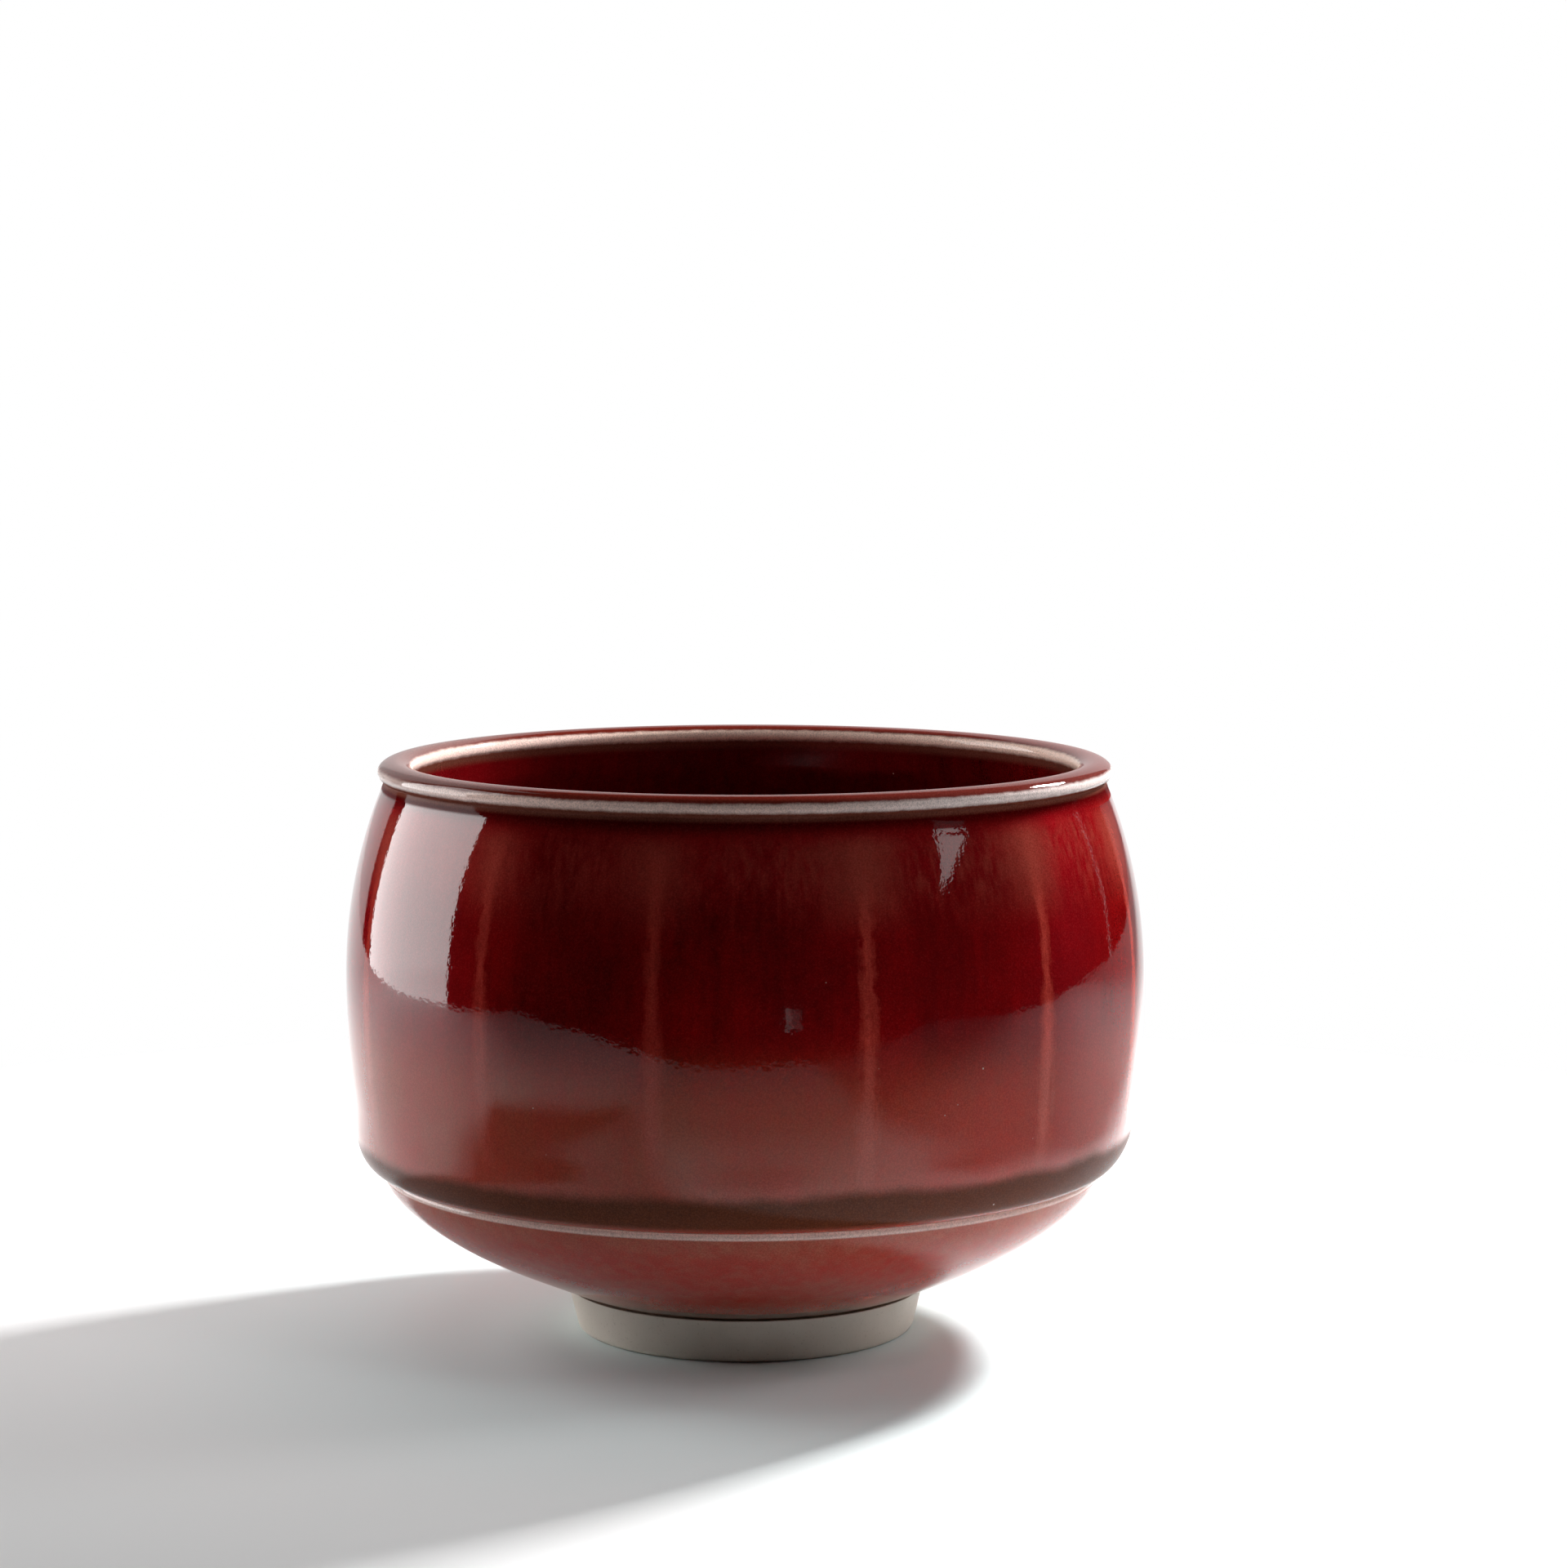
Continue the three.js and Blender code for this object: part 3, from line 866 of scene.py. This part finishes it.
def outside_finish():
    glaze = Glaze("oxblood_outside")
    colour = wall_red(glaze)
    for layer in (milky_wall_and_table_reflection, brown_underside, facet_edges, clouds_below_lip, thin_lines, outer_lip):
        colour = layer(glaze, colour)
    return glaze.glossy(colour, glaze.minus(1.0, outside_dullness(glaze)), GLOSS_ROUGHNESS)


def inside_finish():
    glaze = Glaze("oxblood_inside")
    colour = glaze.mix(glaze.band(glaze.depth, *INSIDE_DEPTH), INSIDE_DEEP, INSIDE_RED)
    # Painted light: the inner left wall is brighter where the lamps fall
    colour = glaze.mix(glaze.band(glaze.across, *INSIDE_LIT), colour, LIT_RED)
    pale = glaze.mix(glaze.band(glaze.across, *INNER_LIP_LEFT), LIP_PALE, LIP_INNER)
    colour = glaze.lip(colour, glaze.band(glaze.height, *INNER_LIP_START), pale, INNER_CREST)
    dull = glaze.plus(glaze.band(glaze.height, *INSIDE_DULL), glaze.band(glaze.height, *DULL_CREST))
    return glaze.glossy(colour, glaze.minus(1.0, dull), glaze.band(glaze.height, *INSIDE_ROUGH))


def bare_porcelain_finish():
    finish = Finish(bpy.data.materials.new("bare_porcelain"))
    place = finish.place()
    grain = finish.noise(place, *CLAY_GRAIN)
    colour = finish.mix(finish.noise(place, *CLAY_BLOTCHES), CLAY_SHADED, CLAY_PALE)
    colour = finish.mix(finish.band(grain, *CLAY_SAND_SPAN), colour, CLAY_SAND)
    height = finish.times(finish.node("ShaderNodeSeparateXYZ", {0: place}).outputs[2], 1 / MM)
    # The groove is stained brown and darkened with painted shade
    stain_and_shade = finish.times(finish.hump(height, *GROOVE_STAIN_AND_SHADE_HUMP), GROOVE_STAIN_AND_SHADE_SHARE)
    colour = finish.mix(stain_and_shade, colour, GROOVE_STAIN_AND_SHADE_COLOUR)
    relief = {"Strength": CLAY_BUMP_STRENGTH, "Distance": CLAY_BUMP_DEPTH * MM, "Height": grain}
    bump = finish.node("ShaderNodeBump", relief).outputs[0]
    sockets = {"Base Color": colour, "Roughness": CLAY_ROUGHNESS, "Normal": bump}
    return finish.close(finish.node("ShaderNodeBsdfPrincipled", sockets).outputs[0])


porcelain = bare_porcelain_finish()
outside_red = outside_finish()
inside_red = inside_finish()

for piece, material, node, slot in (
    (fired_body, porcelain, "porcelain_body", "bare_porcelain"),
    (bare_foot, porcelain, "foot_ring", "bare_porcelain"),
    (outside_glaze, outside_red, "outer_glaze", "oxblood_glaze"),
    (inside_glaze, inside_red, "inner_glaze", "oxblood_glaze"),
    (well_glaze, inside_red, "foot_well_glaze", "oxblood_glaze"),
):
    piece.data.materials.append(material)
    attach(piece, "root")
    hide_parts(node)

# Camera, in metres and degrees, with its sensor in millimetres and its frame in pixels

CAMERA_DISTANCE = 0.650
CAMERA_HEIGHT = 0.156
CAMERA_PITCH = 6.13
CAMERA_TURN = 0.529
CAMERA_NEAREST = 0.01
SENSOR_WIDTH = 36.0
FOCAL_PIXELS = 5101.0
FRAME_WIDTH = 1919.0

scene = bpy.context.scene
camera_data = bpy.data.cameras.new("camera")
camera_data.sensor_width = SENSOR_WIDTH
camera_data.sensor_fit = "HORIZONTAL"
camera_data.lens = SENSOR_WIDTH * FOCAL_PIXELS / FRAME_WIDTH
camera_data.clip_start = CAMERA_NEAREST
camera = bpy.data.objects.new("camera", camera_data)
camera.location = (0, -CAMERA_DISTANCE, CAMERA_HEIGHT)
camera.rotation_euler = (math.radians(90 - CAMERA_PITCH), 0, -math.radians(CAMERA_TURN))
scene.collection.objects.link(camera)
scene.camera = camera
scene.view_settings.view_transform = "Standard"

# Table, surroundings and lights, in metres

TABLE_SIDE = 12.0
TABLE_FRONT = -0.287
TABLE_LEFT = -0.497
TABLE_RIGHT = 0.40
TABLE_RIGHT_BACK = (0.83, 0.65)
HANGING_END = (0.85, 1.05)
HANGING_HEIGHT = 1.2
SOFTBOX_SIDE = (-0.002, 0.397)
SOFTBOX_HEIGHT = 0.60
SOFTBOX_END = (-0.515, 0.60)
RIGHT_SCREEN_END = (0.55, 1.50)
LEFT_SCREEN_END = (-0.45, 1.60)
SLIT_WAY = [(0.7397, 0.4535), (0.7363, 0.4585)]
SLIT_HEIGHT = 0.27
CEILING_HEIGHT = 1.25
CEILING_SIDE = 3.6
CEILING_BACK = 1.6
BOWL_MIDDLE = (0, 0, 0.04)

# Corners of the small glowing cards whose painted reflections the wall shows
GAP_CORNERS = [(0.425, -0.221, 0.323), (0.451, -0.165, 0.299), (0.410, -0.254, 0.209)]
WINDOW_CORNERS = [
    (0.040, -0.284, 0.049),
    (0.048, -0.284, 0.048),
    (0.049, -0.284, 0.026),
    (0.041, -0.284, 0.027),
]
SHADE_CORNERS = [
    (0.048, -0.284, 0.048),
    (0.059, -0.284, 0.047),
    (0.058, -0.284, 0.026),
    (0.049, -0.284, 0.026),
]

# Levels of light, where 1 is white
DARK_LEVEL = 0.005
RIGHT_SCREEN_GLOW_LEVEL = 0.14
LEFT_SCREEN_GLOW_LEVEL = 0.72
SLIT_LEVEL = 0.9
GAP_LEVEL = 2.4
WINDOW_LEVEL = 0.6
SHADE_LEVEL = 0.25
AMBIENT_LEVEL = 1.0
SEEN_LEVEL = 1.0

# The table as the glaze mirrors it, with painted shade towards its front and right and a painted shadow
# of the pot past the camera's view. Sideways is a place across over its distance from the camera. The
# painted shadow runs along its way as far as its end, and the hump is its breadth.
FRONT_SHADE = (-0.090, -0.190)
FRONT_SHADE_LEVEL = (-0.05, -0.16, 0.32, 0.60)
RIGHT_SHADE = (0.165, 0.25, 1.0, 0.30)
SHADOW_WAY = (-0.763, -0.647)
SHADOW_HUMP = (-0.062, 0.042, 0.02)
SHADOW_END = (0.21, 0.185)
SHADOW_DEPTH = 0.75
PAST_VIEW_LEFT = (-0.183, -0.225)
PAST_VIEW_FRONT = (-0.137, -0.185)
GLOW_TO_RIGHT = (0.21, 0.30, 1.0, 0.3)

# The table's whiteness: it glows far back, and all round where the camera sees it. Near the pot its
# paper is cooler, against the red light that the pot throws on it.
GLOW_BACK = (0.08, 0.40)
GLOW_ROUND = (0.23, 0.285)
PAPER_NEAR_POT = (0.12, 0.04)
PAPER_WHITE = (0.86, 0.86, 0.86)
PAPER_COOL = (0.765, 0.865, 0.872)
BLACK = (0.0, 0.0, 0.0)
WHITE = (1.0, 1.0, 1.0)


def seen_directly(finish):
    """1 for rays from the camera, off a gloss or through glass, and 0 for others."""
    path = finish.node("ShaderNodeLightPath").outputs
    some = finish.math("ADD", path["Is Camera Ray"], path["Is Glossy Ray"], True)
    return finish.math("ADD", some, path["Is Transmission Ray"], True)


def mirrored_light(finish, across, back, sideways):
    """How much of the table's light is left for the mirror and for light bounced off it: painted shade
    towards the front and right, and a painted shadow of the pot past the camera's view.
    """
    along = finish.plus(finish.times(across, SHADOW_WAY[0]), finish.times(back, SHADOW_WAY[1]))
    aside = finish.plus(finish.times(across, SHADOW_WAY[1]), finish.times(back, -SHADOW_WAY[0]))
    past_left = finish.band(sideways, *PAST_VIEW_LEFT)
    past_view = finish.math("MAXIMUM", past_left, finish.band(back, *PAST_VIEW_FRONT))
    shadow = finish.times(finish.hump(aside, *SHADOW_HUMP), finish.band(along, *SHADOW_END), past_view)
    return finish.times(
        finish.band(back, *FRONT_SHADE, 1.0, finish.band(across, *FRONT_SHADE_LEVEL)),
        finish.band(sideways, *RIGHT_SHADE),
        finish.minus(1.0, finish.times(shadow, SHADOW_DEPTH)),
    )


def table_finish():
    finish = Finish(bpy.data.materials.new("white_table"))
    across, back = finish.node("ShaderNodeSeparateXYZ", {0: finish.place()}).outputs[:2]
    by_camera = finish.node("ShaderNodeLightPath").outputs["Is Camera Ray"]
    sideways = finish.math("DIVIDE", across, finish.plus(back, CAMERA_DISTANCE))
    away = finish.math("SQRT", finish.plus(finish.times(across, across), finish.times(back, back)))
    lit = finish.math("MAXIMUM", mirrored_light(finish, across, back, sideways), by_camera)
    paper_colour = finish.mix(finish.band(away, *PAPER_NEAR_POT), PAPER_WHITE, PAPER_COOL)
    paper = finish.node("ShaderNodeBsdfDiffuse", {"Color": finish.mix(lit, BLACK, paper_colour)})
    strength = finish.math("MAXIMUM", finish.band(sideways, *GLOW_TO_RIGHT), by_camera)
    glowing = finish.node("ShaderNodeEmission", {"Color": WHITE, "Strength": strength})
    far_back = finish.times(finish.band(back, *GLOW_BACK), seen_directly(finish))
    all_round = finish.times(finish.band(away, *GLOW_ROUND), by_camera)
    share = finish.math("MAXIMUM", far_back, all_round)
    both = finish.node("ShaderNodeMixShader", {0: share, 1: paper.outputs[0], 2: glowing.outputs[0]})
    return finish.close(both.outputs[0])


def glow(name, strength):
    finish = Finish(bpy.data.materials.new(name))
    light = finish.node("ShaderNodeEmission", {"Color": WHITE, "Strength": strength})
    return finish.close(light.outputs[0])


def staged(name, bm, material):
    mesh = bpy.data.meshes.new(name)
    bm.to_mesh(mesh)
    bm.free()
    made = bpy.data.objects.new(name, mesh)
    mesh.materials.append(material)
    scene.collection.objects.link(made)
    return made


def sheet(name, centre, side, material):
    bm = bmesh.new()
    bmesh.ops.create_grid(bm, x_segments=1, y_segments=1, size=side / 2)
    bmesh.ops.translate(bm, verts=bm.verts[:], vec=centre)
    return staged(name, bm, material)


def hangings(name, ways, height, material):
    """Upright sheets over lines on the table."""
    bm = bmesh.new()
    for way in ways:
        low = [bm.verts.new((x, y, 0)) for x, y in way]
        lines = [bm.edges.new(pair) for pair in zip(low, low[1:])]
        risen = bmesh.ops.extrude_edge_only(bm, edges=lines)["geom"]
        tops = [part for part in risen if isinstance(part, bmesh.types.BMVert)]
        bmesh.ops.translate(bm, verts=tops, vec=(0, 0, height))
    return staged(name, bm, material)


def card(name, corners, material):
    bm = bmesh.new()
    bmesh.ops.contextual_create(bm, geom=[bm.verts.new(corner) for corner in corners])
    return staged(name, bm, material)


sheet("white_table", (0, 0, 0), TABLE_SIDE, table_finish())
dark_cloth = glow("dark_cloth", DARK_LEVEL)
round_the_front = [
    (TABLE_LEFT, SOFTBOX_SIDE[0]),
    (TABLE_LEFT, TABLE_FRONT),
    (TABLE_RIGHT, TABLE_FRONT),
    TABLE_RIGHT_BACK,
    HANGING_END,
]
beside_softbox = [(TABLE_LEFT, SOFTBOX_SIDE[1]), SOFTBOX_END]
cloth = hangings("dark_hangings", [round_the_front, beside_softbox], HANGING_HEIGHT, dark_cloth)
right_screen_glow = glow("right_screen_glow", RIGHT_SCREEN_GLOW_LEVEL)
left_screen_glow = glow("left_screen_glow", LEFT_SCREEN_GLOW_LEVEL)
# Glowing cards that only the glaze mirrors: painted reflections of screens, a slit, a gap and a window
mirrored_only = (
    hangings("right_screen", [[HANGING_END, RIGHT_SCREEN_END]], HANGING_HEIGHT, right_screen_glow),
    hangings("left_screen", [[SOFTBOX_END, LEFT_SCREEN_END]], HANGING_HEIGHT, left_screen_glow),
    hangings("slit_between_hangings", [SLIT_WAY], SLIT_HEIGHT, glow("slit_light", SLIT_LEVEL)),
    card("gap_in_hangings", GAP_CORNERS, glow("gap_light", GAP_LEVEL)),
    card("far_window", WINDOW_CORNERS, glow("window_light", WINDOW_LEVEL)),
    card("window_shade", SHADE_CORNERS, glow("shade_light", SHADE_LEVEL)),
)
for shown in mirrored_only:
    shown.visible_camera = False
    shown.visible_diffuse = False
    shown.visible_shadow = False
ceiling_centre = (0, CEILING_BACK - CEILING_SIDE / 2, CEILING_HEIGHT)
ceiling = sheet("dark_ceiling", ceiling_centre, CEILING_SIDE, dark_cloth)
cloth.visible_camera = False
ceiling.visible_camera = False

world = bpy.data.worlds.new("studio")
scene.world = world
studio = Finish(world)
soft = studio.node("ShaderNodeBackground", {"Color": WHITE, "Strength": AMBIENT_LEVEL}).outputs[0]
white = studio.node("ShaderNodeBackground", {"Color": WHITE, "Strength": SEEN_LEVEL}).outputs[0]
both = studio.node("ShaderNodeMixShader", {0: seen_directly(studio), 1: soft, 2: white})
studio.node("ShaderNodeOutputWorld", {"Surface": both.outputs[0]})


def lamp(name, place, aim, width, height, power, mirrored):
    data = bpy.data.lights.new(name, "AREA")
    data.shape = "RECTANGLE"
    data.size = width
    data.size_y = height
    data.energy = power
    made = bpy.data.objects.new(name, data)
    made.location = place
    made.rotation_euler = (Vector(aim) - Vector(place)).to_track_quat("-Z", "Y").to_euler()
    made.visible_glossy = mirrored
    made.visible_camera = False
    scene.collection.objects.link(made)


softbox_place = (TABLE_LEFT, sum(SOFTBOX_SIDE) / 2, SOFTBOX_HEIGHT / 2)
softbox_aim = (0, *softbox_place[1:])
softbox_width = SOFTBOX_SIDE[1] - SOFTBOX_SIDE[0]

# Each lamp's name, place, aim, width, height, power in watts and whether the glaze mirrors it
for lamp_values in (
    ("key_lamp", (0.330, 0.280, 0.368), BOWL_MIDDLE, 0.08, 0.08, 6.5, True),
    ("left_softbox", softbox_place, softbox_aim, softbox_width, SOFTBOX_HEIGHT, 2.9, True),
    ("left_fill", (-0.44, 0.24, 0.28), BOWL_MIDDLE, 0.4, 0.4, 0.15, False),
    ("right_fill", (0.55, -0.03, 0.20), BOWL_MIDDLE, 0.4, 0.3, 3.8, False),
    ("top_fill", (-0.05, 0.15, 1.0), (-0.05, 0.15, 0), 0.9, 0.9, 2.3, False),
    ("front_fill", (0.20, -0.25, 0.30), BOWL_MIDDLE, 0.12, 0.12, 0.145, False),
):
    lamp(*lamp_values)
